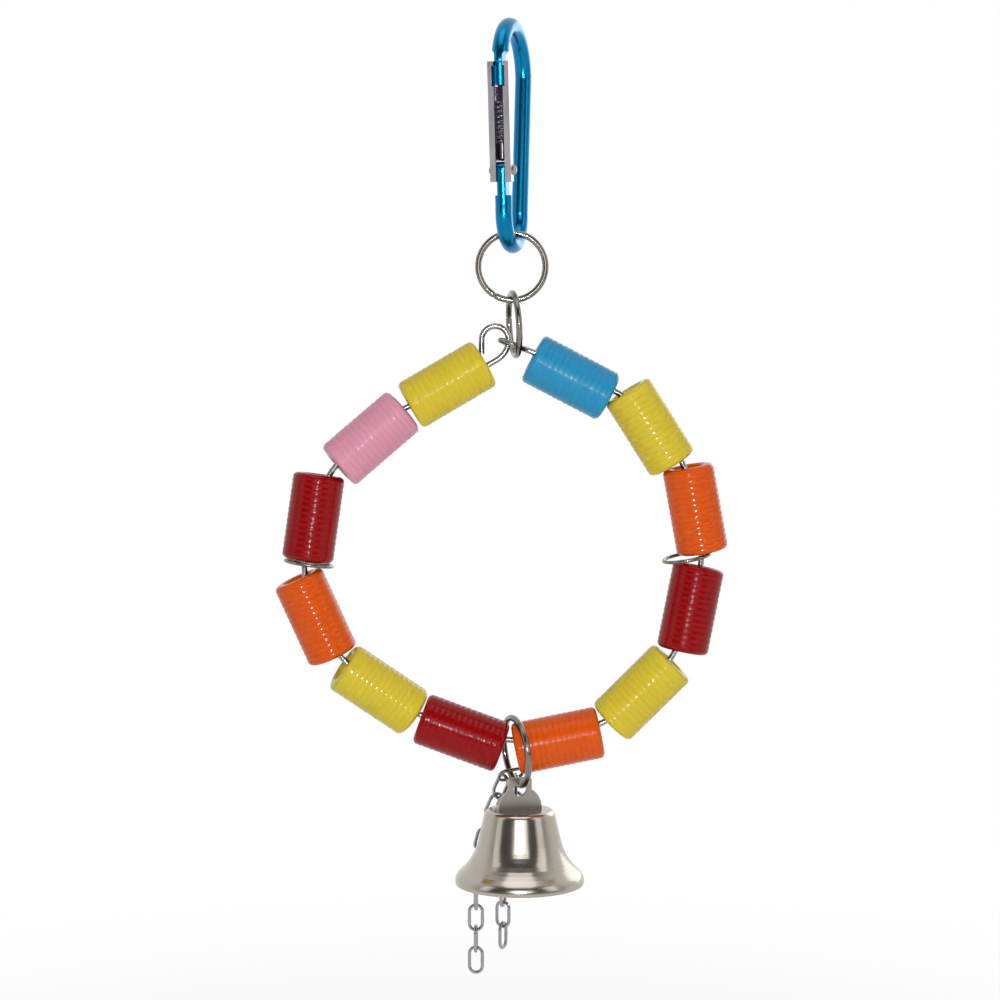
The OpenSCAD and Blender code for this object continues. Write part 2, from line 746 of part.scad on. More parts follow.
// One link along Z, its flat side across Y
module chain_link() {
    straight = 2 * (link_half - link_bend_r);
    for (side = [-1, 1]) {
        translate([side * link_bend_r, 0, -straight / 2])
            cylinder(h = straight, d = link_wire_d, $fn = wire_fn);
        translate([0, 0, side * straight / 2])
            bend(link_bend_r, link_wire_d, side > 0 ? 0 : 180, side > 0 ? 180 : 360);
    }
}

// Link number i of a tail that starts at a point and follows the guide points
module tail_link(start, guides, rim_turn, i) {
    p = tail_at(start, guides, i - 1);
    way = link_way(p, guides);
    slope = acos(-way[2]);
    heading = slope < 1 ? 90 + rim_turn : atan2(way[1], way[0]);
    color("#a9a7a6")
        translate(p + way * link_pitch / 2)
            rotate([0, 180 - slope, heading])
                rotate([0, 0, (90 + tail_twist) * (i - 1)])
                    chain_link();
}

module chain_middle_link() {
    color("#a9a7a6")
        translate(middle_link_at)
            rotate([0, -bell_ring_lean, 0])
                rotate([chain_beta, 0, bell_ring_yaw])
                    rotate([0, 90, 0])
                        chain_link();
}

carabiner_body();
gate_channel();
gate_spring();
gate_plunger();
gate_rivet();
top_ring();
connector_ring();
hoop_wire();
bead(0, "#2a8fc0");  // bead_01_blue
bead(1, "#d0be3c");  // bead_02_yellow
bead(2, "#da5a14");  // bead_03_orange
bead(3, "#9b0a12");  // bead_04_red
bead(4, "#d0be3c");  // bead_05_yellow
bead(5, "#da5a14");  // bead_06_orange
bead(6, "#9b0a12");  // bead_07_red
bead(7, "#d0be3c");  // bead_08_yellow
bead(8, "#da5a14");  // bead_09_orange
bead(9, "#9b0a12");  // bead_10_red
bead(10, "#d994b4");  // bead_11_pink
bead(11, "#d0be3c");  // bead_12_yellow
side_ring(ring_right_bead, 1, ring_right_shift);  // side_ring_right
side_ring(ring_left_bead, -1, ring_left_shift);  // side_ring_left
bell_ring();
bell_shell();
bell_hanger();
bell_clapper();
chain_middle_link();
tail_link(left_start, left_route, left_rim_turn, 1);  // chain_left_1
tail_link(left_start, left_route, left_rim_turn, 2);  // chain_left_2
tail_link(left_start, left_route, left_rim_turn, 3);  // chain_left_3
tail_link(left_start, left_route, left_rim_turn, 4);  // chain_left_4
tail_link(left_start, left_route, left_rim_turn, 5);  // chain_left_5
tail_link(left_start, left_route, left_rim_turn, 6);  // chain_left_6
tail_link(left_start, left_route, left_rim_turn, 7);  // chain_left_7
tail_link(left_start, left_route, left_rim_turn, 8);  // chain_left_8
tail_link(left_start, left_route, left_rim_turn, 9);  // chain_left_9
tail_link(left_start, left_route, left_rim_turn, 10);  // chain_left_10
tail_link(right_start, right_route, right_rim_turn, 1);  // chain_right_1
tail_link(right_start, right_route, right_rim_turn, 2);  // chain_right_2
tail_link(right_start, right_route, right_rim_turn, 3);  // chain_right_3
tail_link(right_start, right_route, right_rim_turn, 4);  // chain_right_4
tail_link(right_start, right_route, right_rim_turn, 5);  // chain_right_5
tail_link(right_start, right_route, right_rim_turn, 6);  // chain_right_6
tail_link(right_start, right_route, right_rim_turn, 7);  // chain_right_7
tail_link(right_start, right_route, right_rim_turn, 8);  // chain_right_8
tail_link(right_start, right_route, right_rim_turn, 9);  // chain_right_9
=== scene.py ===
import json
import math

import bpy
import numpy as np
from mathutils import Matrix, Vector


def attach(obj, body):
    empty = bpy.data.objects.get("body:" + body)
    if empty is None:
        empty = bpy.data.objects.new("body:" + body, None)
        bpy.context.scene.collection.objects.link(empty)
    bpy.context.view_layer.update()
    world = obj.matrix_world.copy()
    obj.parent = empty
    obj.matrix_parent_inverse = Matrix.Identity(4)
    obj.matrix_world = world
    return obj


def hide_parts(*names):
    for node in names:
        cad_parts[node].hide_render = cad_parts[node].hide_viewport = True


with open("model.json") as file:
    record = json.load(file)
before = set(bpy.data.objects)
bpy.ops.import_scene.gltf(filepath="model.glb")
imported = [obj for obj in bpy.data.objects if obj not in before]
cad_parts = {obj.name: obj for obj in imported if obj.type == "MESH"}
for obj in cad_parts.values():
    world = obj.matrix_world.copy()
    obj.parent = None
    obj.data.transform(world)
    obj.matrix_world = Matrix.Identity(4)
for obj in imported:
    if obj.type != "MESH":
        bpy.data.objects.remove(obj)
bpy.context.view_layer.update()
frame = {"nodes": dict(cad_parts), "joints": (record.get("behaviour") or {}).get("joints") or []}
nodes = frame["nodes"]
joints = {joint["child"]: joint for joint in frame["joints"]}
scene = bpy.context.scene
print("frame loaded,", len(nodes), "nodes")


# camera
cameraSettings = {
    "distance": 0.3853,
    "height": -0.0812,
    "side": -0.00243,
    "tilt": 90,  # degrees: level, towards +Y
    "lens": 68.06,
    "sensor": 36,
    "shiftY": -0.0662,
    "clipStart": 0.01,
}


def addCamera(settings):
    data = bpy.data.cameras.new("swingCamera")
    data.lens = settings["lens"]
    data.sensor_width = settings["sensor"]
    data.shift_y = settings["shiftY"]
    data.clip_start = settings["clipStart"]
    camera = bpy.data.objects.new("swingCamera", data)
    camera.location = (settings["side"], -settings["distance"], settings["height"])
    camera.rotation_euler = (math.radians(settings["tilt"]), 0, 0)
    scene.collection.objects.link(camera)
    scene.camera = camera


addCamera(cameraSettings)
scene.view_settings.view_transform = "Standard"
print("camera placed")


# node helpers shared by the geometry trees and the materials
def addNode(tree, kind, inputs=None, **settings):
    node = tree.nodes.new(kind)
    for name, value in settings.items():
        setattr(node, name, value)
    for key, value in (inputs or {}).items():
        socket = node.inputs[key]
        if isinstance(value, bpy.types.NodeSocket):
            tree.links.new(value, socket)
        else:
            socket.default_value = value
    return node


def maths(tree, operation, *values):
    inputs = dict(enumerate(values))
    return addNode(tree, "ShaderNodeMath", inputs, operation=operation).outputs[0]


def product(tree, first, *others):
    for other in others:
        first = maths(tree, "MULTIPLY", first, other)
    return first


def smoothRange(tree, value, fromMin, fromMax, toMin, toMax):
    inputs = {"Value": value, "From Min": fromMin, "From Max": fromMax, "To Min": toMin, "To Max": toMax}
    ranged = addNode(tree, "ShaderNodeMapRange", inputs, interpolation_type="SMOOTHSTEP")
    return ranged.outputs["Result"]


def mixColours(tree, share, first, second):
    # the Mix node's colours are its inputs 6 and 7 and its output 2
    return addNode(tree, "ShaderNodeMix", {0: share, 6: first, 7: second}, data_type="RGBA").outputs[2]


def newTree(name, sizes):
    tree = bpy.data.node_groups.new(name, "GeometryNodeTree")
    for label, value in sizes.items():
        kind = "NodeSocketInt" if isinstance(value, int) else "NodeSocketFloat"
        tree.interface.new_socket(label, in_out="INPUT", socket_type=kind).default_value = value
    tree.interface.new_socket("Finish", in_out="INPUT", socket_type="NodeSocketMaterial")
    tree.interface.new_socket("Geometry", in_out="OUTPUT", socket_type="NodeSocketGeometry")
    return tree, tree.nodes.new("NodeGroupInput").outputs


def closeTree(tree, geometry, sizes):
    smooth = addNode(tree, "GeometryNodeSetShadeSmooth", {"Geometry": geometry})
    real = addNode(tree, "GeometryNodeRealizeInstances", {"Geometry": smooth.outputs[0]})
    inputs = {"Geometry": real.outputs[0], "Material": sizes["Finish"]}
    finish = addNode(tree, "GeometryNodeSetMaterial", inputs)
    out = tree.nodes.new("NodeGroupOutput")
    tree.links.new(finish.outputs[0], out.inputs["Geometry"])
    return tree


def curvePlace(tree):
    place = tree.nodes.new("GeometryNodeInputPosition").outputs[0]
    return addNode(tree, "ShaderNodeSeparateXYZ", {"Vector": place}).outputs


def circle(tree, points, radius):
    inputs = {"Resolution": points, "Radius": radius}
    return addNode(tree, "GeometryNodeCurvePrimitiveCircle", inputs, mode="RADIUS").outputs[0]


def roundedRectangle(tree, width, height, cornerPoints, cornerRadius):
    inputs = {"Width": width, "Height": height}
    outline = addNode(tree, "GeometryNodeCurvePrimitiveQuadrilateral", inputs, mode="RECTANGLE")
    inputs = {"Curve": outline.outputs[0], "Count": cornerPoints, "Radius": cornerRadius}
    return addNode(tree, "GeometryNodeFilletCurve", inputs, mode="POLY").outputs[0]


def sideHump(tree, width):
    # 1 where the curve crosses +X, falling away along Y over the width
    place = curvePlace(tree)
    offset = maths(tree, "DIVIDE", place["Y"], width)
    hump = maths(tree, "EXPONENT", product(tree, offset, offset, -1.0))
    return product(tree, hump, maths(tree, "GREATER_THAN", place["X"], 0.0))


def sweepWire(tree, curve, sizes, **options):
    profile = circle(tree, sizes["Wire Sides"], product(tree, sizes["Wire"], 0.5))
    inputs = {"Curve": curve, "Profile Curve": profile, **options}
    return addNode(tree, "GeometryNodeCurveToMesh", inputs).outputs[0]


def buildPiece(name, tree, sizes, finish, place):
    # runs a geometry tree once and keeps the plain mesh, moved to its place
    carrier = bpy.data.objects.new(name + "Carrier", bpy.data.meshes.new(name + "Carrier"))
    scene.collection.objects.link(carrier)
    modifier = carrier.modifiers.new("build", "NODES")
    modifier.node_group = tree
    for item in tree.interface.items_tree:
        if item.name in sizes:
            modifier[item.identifier] = sizes[item.name]
        elif item.name == "Finish":
            modifier[item.identifier] = finish
    bpy.context.view_layer.update()
    evaluated = carrier.evaluated_get(bpy.context.evaluated_depsgraph_get())
    mesh = bpy.data.meshes.new_from_object(evaluated)
    bpy.data.objects.remove(carrier)
    mesh.transform(place)
    piece = bpy.data.objects.new(name, mesh)
    scene.collection.objects.link(piece)
    return piece


def axesMatrix(centre, side, along):
    # local Z runs along, local X points to the side
    z = Vector(along).normalized()
    x = (Vector(side) - Vector(side).dot(z) * z).normalized()
    y = z.cross(x)
    matrix = Matrix((x, y, z)).transposed().to_4x4()
    matrix.translation = Vector(centre)
    return matrix


def spreadAxes(node):
    # centre of a CAD node, with its widest, middle and narrowest directions and their spans
    points = np.array([v.co for v in nodes[node].data.vertices], float)
    values, vectors = np.linalg.eigh(np.cov((points - points.mean(0)).T))
    axes = [vectors[:, i] for i in values.argsort()[::-1]]
    centre = np.zeros(3)
    spans = []
    for axis in axes:
        low, high = (points @ axis).min(), (points @ axis).max()
        centre += axis * (low + high) / 2
        spans.append(high - low)
    return Vector(centre), [Vector(axis) for axis in axes], spans


# metals
grainSettings = {
    "fineDetail": 3.0,
    "cloudScale": 130.0,
    "cloudDetail": 2.0,
    "smoothest": 0.03,
    "roughest": 0.9,
    "bumpDistance": 0.00002,
}


def metalGrainGroup(settings):
    # mottling of a plated or anodised surface: roughness that varies, a height and soft clouds
    tree = bpy.data.node_groups.new("metalGrain", "ShaderNodeTree")
    for label in ("Scale", "Stretch", "Roughness", "Variation"):
        tree.interface.new_socket(label, in_out="INPUT", socket_type="NodeSocketFloat")
    for label in ("Roughness", "Height", "Cloud"):
        tree.interface.new_socket(label, in_out="OUTPUT", socket_type="NodeSocketFloat")
    sizes = tree.nodes.new("NodeGroupInput").outputs
    place = tree.nodes.new("ShaderNodeTexCoord").outputs["Object"]
    stretch = addNode(tree, "ShaderNodeCombineXYZ", {"X": 1.0, "Y": 1.0, "Z": sizes["Stretch"]})
    mapped = addNode(tree, "ShaderNodeMapping", {"Vector": place, "Scale": stretch.outputs[0]})
    inputs = {"Vector": mapped.outputs[0], "Scale": sizes["Scale"], "Detail": settings["fineDetail"]}
    fine = addNode(tree, "ShaderNodeTexNoise", inputs).outputs["Fac"]
    inputs = {"Vector": place, "Scale": settings["cloudScale"], "Detail": settings["cloudDetail"]}
    wide = addNode(tree, "ShaderNodeTexNoise", inputs).outputs["Fac"]
    cloud = product(tree, maths(tree, "SUBTRACT", wide, 0.5), 2.0)
    grain = maths(tree, "ADD", cloud, maths(tree, "SUBTRACT", fine, 0.5))
    rough = maths(tree, "ADD", sizes["Roughness"], product(tree, grain, sizes["Variation"]))
    inputs = {"Value": rough, "Min": settings["smoothest"], "Max": settings["roughest"]}
    clamp = addNode(tree, "ShaderNodeClamp", inputs)
    out = tree.nodes.new("NodeGroupOutput")
    tree.links.new(clamp.outputs[0], out.inputs["Roughness"])
    tree.links.new(fine, out.inputs["Height"])
    tree.links.new(wide, out.inputs["Cloud"])
    return tree


metalGrain = metalGrainGroup(grainSettings)


def newMaterial(name):
    material = bpy.data.materials.new(name)
    material.use_nodes = True
    tree = material.node_tree
    tree.nodes.clear()
    shader = tree.nodes.new("ShaderNodeBsdfPrincipled")
    out = tree.nodes.new("ShaderNodeOutputMaterial")
    tree.links.new(shader.outputs[0], out.inputs["Surface"])
    return material, tree, shader


def addBump(tree, shader, height, strength, distance):
    bump = addNode(tree, "ShaderNodeBump", {"Height": height, "Strength": strength, "Distance": distance})
    tree.links.new(bump.outputs[0], shader.inputs["Normal"])


def metalFinish(name, colour, shade, roughness, variation, scale, stretch, bump):
    # colour drifts to the shade in soft clouds, as plating and dye do
    material, tree, shader = newMaterial(name)
    inputs = {"Scale": scale, "Stretch": stretch, "Roughness": roughness, "Variation": variation}
    grain = addNode(tree, "ShaderNodeGroup", inputs, node_tree=metalGrain)
    base = mixColours(tree, grain.outputs["Cloud"], (*colour, 1), (*shade, 1))
    tree.links.new(base, shader.inputs["Base Color"])
    tree.links.new(grain.outputs["Roughness"], shader.inputs["Roughness"])
    shader.inputs["Metallic"].default_value = 1.0
    addBump(tree, shader, grain.outputs["Height"], bump, grainSettings["bumpDistance"])
    return material


metalFinishes = {
    "anodisedBlue": dict(
        colour=(0.007, 0.215, 0.42),
        shade=(0.004, 0.15, 0.33),
        roughness=0.24,
        variation=0.05,
        scale=2200,
        stretch=0.25,
        bump=0.08,
    ),
    # the gate's steel, with a painted shade inside its slot added below
    "slottedSteelWithShade": dict(
        colour=(0.50, 0.48, 0.50),
        shade=(0.42, 0.40, 0.42),
        roughness=0.34,
        variation=0.1,
        scale=3000,
        stretch=0.12,
        bump=0.3,
    ),
    # painted shade: steel made dark for the plunger deep inside the gate
    "gateInnerShade": dict(
        colour=(0.13, 0.12, 0.14),
        shade=(0.09, 0.08, 0.10),
        roughness=0.3,
        variation=0.1,
        scale=3000,
        stretch=1,
        bump=0.2,
    ),
    # darker steel for the spring: partly its own tone, partly painted shade inside the gate
    "springSteelPartShaded": dict(
        colour=(0.26, 0.24, 0.27),
        shade=(0.18, 0.165, 0.19),
        roughness=0.3,
        variation=0.1,
        scale=3000,
        stretch=1,
        bump=0.2,
    ),
    "rivetSteel": dict(
        colour=(0.36, 0.35, 0.345),
        shade=(0.30, 0.29, 0.285),
        roughness=0.2,
        variation=0.08,
        scale=2600,
        stretch=1,
        bump=0.1,
    ),
    "nickelRing": dict(
        colour=(0.25, 0.23, 0.20),
        shade=(0.20, 0.185, 0.16),
        roughness=0.16,
        variation=0.04,
        scale=2600,
        stretch=1,
        bump=0.05,
    ),
    "brightWire": dict(
        colour=(0.32, 0.315, 0.315),
        shade=(0.26, 0.255, 0.255),
        roughness=0.18,
        variation=0.04,
        scale=2600,
        stretch=1,
        bump=0.05,
    ),
    "bellNickel": dict(
        colour=(0.47, 0.43, 0.375),
        shade=(0.39, 0.355, 0.305),
        roughness=0.2,
        variation=0.08,
        scale=2600,
        stretch=0.2,
        bump=0.1,
    ),
    "hangerNickel": dict(
        colour=(0.40, 0.375, 0.335),
        shade=(0.34, 0.32, 0.285),
        roughness=0.36,
        variation=0.1,
        scale=2600,
        stretch=1,
        bump=0.25,
    ),
    "chainSteel": dict(
        colour=(0.38, 0.375, 0.385),
        shade=(0.30, 0.295, 0.30),
        roughness=0.09,
        variation=0.04,
        scale=2600,
        stretch=1,
        bump=0.1,
    ),
}
metals = {name: metalFinish(name, **values) for name, values in metalFinishes.items()}

# distances from the gate's middle plane, between which the painted shade inside the slot ends
slotShadeSettings = {"colour": (0.045, 0.035, 0.055), "inner": 0.00090, "outer": 0.00096}


def paintedSlotShade(material, centre, across, settings):
    # painted shade: dark inside a narrow slot, by distance from the slot's middle plane
    tree = material.node_tree
    shader = next(n for n in tree.nodes if n.type == "BSDF_PRINCIPLED")
    steel = shader.inputs["Base Color"].links[0].from_socket
    place = tree.nodes.new("ShaderNodeTexCoord").outputs["Object"]
    away = addNode(tree, "ShaderNodeVectorMath", {0: place, 1: centre}, operation="SUBTRACT").outputs[0]
    side = addNode(tree, "ShaderNodeVectorMath", {0: away, 1: across}, operation="DOT_PRODUCT")
    distance = maths(tree, "ABSOLUTE", side.outputs["Value"])
    shadeMask = smoothRange(tree, distance, settings["inner"], settings["outer"], 0.0, 1.0)
    base = mixColours(tree, shadeMask, (*settings["colour"], 1), steel)
    tree.links.new(base, shader.inputs["Base Color"])


gateJoint = joints["gate"]
# paints shade into the slot of the gate's steel
paintedSlotShade(metals["slottedSteelWithShade"], gateJoint["pos_m"], gateJoint["axis"], slotShadeSettings)


# plastics
plasticSettings = {
    "cloudScale": 160.0,
    "milkiness": 0.35,
    # share of the painted shade in the grooves
    "grooveShadeShare": 0.15,
    "fineScale": 1500.0,
    "noiseDetail": 2.0,
    "roughness": 0.09,
    "variation": 0.06,
    "bump": 0.05,
    "bumpDistance": 0.00002,
    "shader": {
        "Specular IOR Level": 0.17,
        "Subsurface Weight": 0.3,
        "Subsurface Radius": (1.0, 0.7, 0.45),
        "Subsurface Scale": 0.0012,
        "IOR": 1.49,
    },
}


def plasticFinish(name, colour, grooveShadeColour, pale, settings):
    # moulded plastic: painted shade darkens the grooves, a little milky in clouds, with light inside it
    material, tree, shader = newMaterial(name)
    groove = addNode(tree, "ShaderNodeAttribute", attribute_name="groove").outputs["Fac"]
    place = tree.nodes.new("ShaderNodeTexCoord").outputs["Object"]
    detail = settings["noiseDetail"]
    inputs = {"Vector": place, "Scale": settings["cloudScale"], "Detail": detail}
    cloud = addNode(tree, "ShaderNodeTexNoise", inputs).outputs["Fac"]
    milk = product(tree, cloud, settings["milkiness"])
    milky = mixColours(tree, milk, (*colour, 1), (*pale, 1))
    # painted shade: the base colour darkens towards the bottom of each groove
    base = mixColours(tree, product(tree, groove, settings["grooveShadeShare"]), milky, (*grooveShadeColour, 1))
    tree.links.new(base, shader.inputs["Base Color"])
    inputs = {"Vector": place, "Scale": settings["fineScale"], "Detail": detail}
    fine = addNode(tree, "ShaderNodeTexNoise", inputs).outputs["Fac"]
    rough = maths(tree, "ADD", product(tree, fine, settings["variation"]), settings["roughness"])
    tree.links.new(rough, shader.inputs["Roughness"])
    addBump(tree, shader, fine, settings["bump"], settings["bumpDistance"])
    for label, value in settings["shader"].items():
        shader.inputs[label].default_value = value
    return material


# the second colour of each is the painted shade of its grooves
plasticColours = {
    "blue": dict(colour=(0.020, 0.265, 0.485), grooveShadeColour=(0.012, 0.18, 0.37), pale=(0.035, 0.33, 0.55)),
    "yellow": dict(colour=(0.63, 0.49, 0.030), grooveShadeColour=(0.49, 0.36, 0.016), pale=(0.68, 0.56, 0.06)),
    "orange": dict(colour=(0.66, 0.085, 0.003), grooveShadeColour=(0.50, 0.05, 0.002), pale=(0.72, 0.12, 0.008)),
    "red": dict(colour=(0.27, 0.0015, 0.003), grooveShadeColour=(0.19, 0.001, 0.002), pale=(0.31, 0.003, 0.005)),
    "pink": dict(colour=(0.65, 0.275, 0.375), grooveShadeColour=(0.52, 0.19, 0.28), pale=(0.70, 0.355, 0.45)),
}
plastics = {}
for name, colours in plasticColours.items():
    plastics[name] = plasticFinish("plastic" + name.capitalize(), **colours, settings=plasticSettings)
print("materials ready")


# beads: a closed outline with rounded corners and ribs, swept round the bore
beadSizes = {
    "Length": 0.0177,
    "Outer Diameter": 0.01056,
    "Bore Diameter": 0.0054,
    "Edge Radius": 0.0011,
    "Edge Points": 8,
    "Rib Count": 13,
    "Rib Depth": 0.00007,
    "Rib Edge": 0.0011,  # left smooth at each end
    "Groove Power": 1.5,  # above 1 narrows the grooves
    "Outer Share": 0.45,  # of the wall, from its middle: the outer face lies beyond
    "Spacing": 0.00012,
    "Sides": 96,
}


def grooveAlong(tree, sizes, wall):
    # 0 on the ribs and off the outer face, 1 at the bottom of a groove
    place = curvePlace(tree)
    ribbed = maths(tree, "SUBTRACT", sizes["Length"], product(tree, sizes["Rib Edge"], 2.0))
    share = maths(tree, "DIVIDE", maths(tree, "ADD", place["Y"], product(tree, ribbed, 0.5)), ribbed)
    wave = maths(tree, "COSINE", product(tree, share, sizes["Rib Count"], 2 * math.pi))
    half = product(tree, maths(tree, "ADD", 1.0, wave), 0.5)
    depth = maths(tree, "POWER", half, sizes["Groove Power"])
    afterStart = maths(tree, "GREATER_THAN", share, 0.0)
    beforeEnd = maths(tree, "LESS_THAN", share, 1.0)
    outer = maths(tree, "GREATER_THAN", place["X"], product(tree, wall, sizes["Outer Share"]))
    return product(tree, depth, product(tree, afterStart, beforeEnd), outer)


def beadTree():
    tree, sizes = newTree("ribbedBead", beadSizes)
    outer, bore = sizes["Outer Diameter"], sizes["Bore Diameter"]
    wall = product(tree, maths(tree, "SUBTRACT", outer, bore), 0.5)
    middle = product(tree, maths(tree, "ADD", outer, bore), 0.25)  # mean of the two radii
    rounded = roundedRectangle(tree, wall, sizes["Length"], sizes["Edge Points"], sizes["Edge Radius"])
    inputs = {"Curve": rounded, "Length": sizes["Spacing"]}
    evened = addNode(tree, "GeometryNodeResampleCurve", inputs, mode="LENGTH")
    groove = grooveAlong(tree, sizes, wall)
    # the groove mask also drives the painted groove shade in the material
    inputs = {"Geometry": evened.outputs[0], "Name": "groove", "Value": groove}
    stored = addNode(tree, "GeometryNodeStoreNamedAttribute", inputs, data_type="FLOAT", domain="POINT")
    inward = addNode(tree, "ShaderNodeCombineXYZ", {"X": product(tree, groove, sizes["Rib Depth"], -1.0)})
    inputs = {"Geometry": stored.outputs[0], "Offset": inward.outputs[0]}
    cut = addNode(tree, "GeometryNodeSetPosition", inputs)
    inputs = {"Curve": circle(tree, sizes["Sides"], middle), "Profile Curve": cut.outputs[0]}
    swept = addNode(tree, "GeometryNodeCurveToMesh", inputs)
    return closeTree(tree, swept.outputs[0], sizes)


ribbedBead = beadTree()
for node in sorted(n for n in nodes if n.startswith("bead_")):
    joint = joints[node]
    place = axesMatrix(joint["pos_m"], (0, 1, 0), joint["axis"])
    bead = buildPiece("ribbed_" + node, ribbedBead, beadSizes, plastics[node.split("_")[-1]], place)
    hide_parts(node)
    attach(bead, node)
print("beads made")


# chain links: a rounded wire loop with a small weld on one side
linkSizes = {
    "Length": 0.00598,
    "Width": 0.00344,
    "Wire": 0.0007,
    "Wire Sides": 16,
    "Bend Points": 9,
    "Bend Share": 0.499,  # of the loop's width, just under a half-round end
    "Loop Points": 64,
    "Weld": 0.08,  # added to the wire's thickness, as a share
    "Weld Spread": 0.6,  # along the wire, as a share of its thickness
}


def linkTree():
    tree, sizes = newTree("chainLink", linkSizes)
    width = maths(tree, "SUBTRACT", sizes["Width"], sizes["Wire"])
    height = maths(tree, "SUBTRACT", sizes["Length"], sizes["Wire"])
    bend = product(tree, width, sizes["Bend Share"])
    rounded = roundedRectangle(tree, width, height, sizes["Bend Points"], bend)
    inputs = {"Curve": rounded, "Count": sizes["Loop Points"]}
    evened = addNode(tree, "GeometryNodeResampleCurve", inputs, mode="COUNT")
    weld = sideHump(tree, product(tree, sizes["Wire"], sizes["Weld Spread"]))
    thick = maths(tree, "ADD", 1.0, product(tree, weld, sizes["Weld"]))
    swept = sweepWire(tree, evened.outputs[0], sizes, Scale=thick)
    return closeTree(tree, swept, sizes)


chainLink = linkTree()
for node in sorted(n for n in nodes if n.startswith("chain_")):
    centre, (long, wide, _), _ = spreadAxes(node)
    place = axesMatrix(centre, wide, wide.cross(long))
    link = buildPiece("wire_" + node, chainLink, linkSizes, metals["chainSteel"], place)
    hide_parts(node)
    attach(link, node)
print("chain made")


# gate spring: round wire wound on a spiral
springSizes = {
    "Coil Diameter": 0.00128,
    "Wire": 0.00032,
    "Wire Sides": 12,
    "Height": 0.0083,
    "Turns": 8.0,
    "Turn Points": 28,
}


def springTree():
    tree, sizes = newTree("gateCoil", springSizes)
    radius = product(tree, sizes["Coil Diameter"], 0.5)
    rise = maths(tree, "SUBTRACT", sizes["Height"], sizes["Wire"])
    inputs = {"Resolution": sizes["Turn Points"], "Rotations": sizes["Turns"], "Height": rise}
    inputs.update({"Start Radius": radius, "End Radius": radius})
    spiral = addNode(tree, "GeometryNodeCurveSpiral", inputs)
    swept = sweepWire(tree, spiral.outputs[0], sizes, **{"Fill Caps": True})
    shift = addNode(tree, "ShaderNodeCombineXYZ", {"Z": product(tree, rise, -0.5)})
    lowered = addNode(tree, "GeometryNodeSetPosition", {"Geometry": swept, "Offset": shift.outputs[0]})
    return closeTree(tree, lowered.outputs[0], sizes)


springCentre, springAxes, _ = spreadAxes("gate_spring")
springPlace = axesMatrix(springCentre, (1, 0, 0), springAxes[0])
coil = buildPiece("coil_gate_spring", springTree(), springSizes, metals["springSteelPartShaded"], springPlace)
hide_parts("gate_spring")
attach(coil, "gate")
print("gate spring made")


# rings: closed loops of round wire with the hairline where the wire ends meet
ringSizes = {
    "Outer Diameter": 0.015,
    "Wire": 0.0013,
    "Wire Sides": 24,
    "Sides": 480,
    "Seam Depth": 0.22,  # taken from the wire's thickness, as a share
    "Seam Width": 0.00022,
}


def ringTree():
    tree, sizes = newTree("wireRing", ringSizes)
    radius = product(tree, maths(tree, "SUBTRACT", sizes["Outer Diameter"], sizes["Wire"]), 0.5)
    seam = product(tree, sideHump(tree, sizes["Seam Width"]), sizes["Seam Depth"])
    thick = maths(tree, "SUBTRACT", 1.0, seam)
    swept = sweepWire(tree, circle(tree, sizes["Sides"], radius), sizes, Scale=thick)
    return closeTree(tree, swept, sizes)


wireRing = ringTree()
ringKinds = {  # the seam is the direction in which the hairline lies
    "top_ring": dict(body="top_ring", seam=(-0.6, 0, -1)),
    "connector_ring": dict(body="connector_ring", seam=(0, 1, 0.3)),
    "bell_ring": dict(body="bell_ring", seam=(0, 1, 0.8)),
    "side_ring_left": dict(body="side_ring_left", seam=(1, 1, 0)),
    "side_ring_right": dict(body="side_ring_right", seam=(-1, 1, 0)),
}
for node, kind in ringKinds.items():
    centre, axes, (widest, middle, narrowest) = spreadAxes(node)
    sizes = dict(ringSizes)
    sizes["Wire"] = narrowest
    sizes["Outer Diameter"] = (widest + middle) / 2
    place = axesMatrix(centre, kind["seam"], axes[2])
    ring = buildPiece("wire_" + node, wireRing, sizes, metals["nickelRing"], place)
    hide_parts(node)
    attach(ring, kind["body"])
print("rings made")


# CAD pieces that keep their shape
keptPieces = {
    "carabiner_body": "anodisedBlue",
    "gate_channel": "slottedSteelWithShade",
    "gate_plunger": "gateInnerShade",
    "gate_rivet": "rivetSteel",
    "hoop_wire": "brightWire",
    "bell_shell": "bellNickel",
    "bell_hanger": "hangerNickel",
    "bell_clapper": "nickelRing",
}
for node, finish in keptPieces.items():
    for slot in nodes[node].material_slots:
        slot.material = metals[finish]
print("kept pieces finished")


# studio
studioSettings = {
    "floorHeight": -0.26,
    "floorSize": 3.0,
    "floorColour": (0.86, 0.86, 0.85),
    "floorRoughness": 0.9,
    "shadowShare": 0.15,  # of the lit floor that the camera sees close to the swing
    "shadowNear": 0.28,  # distance from the frame's origin at which that share starts to fade
    "shadowFar": 0.45,  # and at which it has gone
    "skyTop": (1.0, 1.0, 1.0),
    "skyBottom": (0.55, 0.55, 0.55),
    "skyTopAt": 0.8,
    "skyBottomAt": 0.25,
    "skyStrength": 0.38,
    "frontDim": 0.9,  # taken from the sky and from what metal sees, towards the front
    "frontStart": 0.3,
    "frontEnd": -0.6,
    "lampAim": (0, 0, -0.09),
}


def mixShaders(tree, share, first, second, out):
    mix = addNode(tree, "ShaderNodeMixShader", {"Fac": share, 1: first.outputs[0], 2: second.outputs[0]})
    tree.links.new(mix.outputs[0], out.inputs["Surface"])


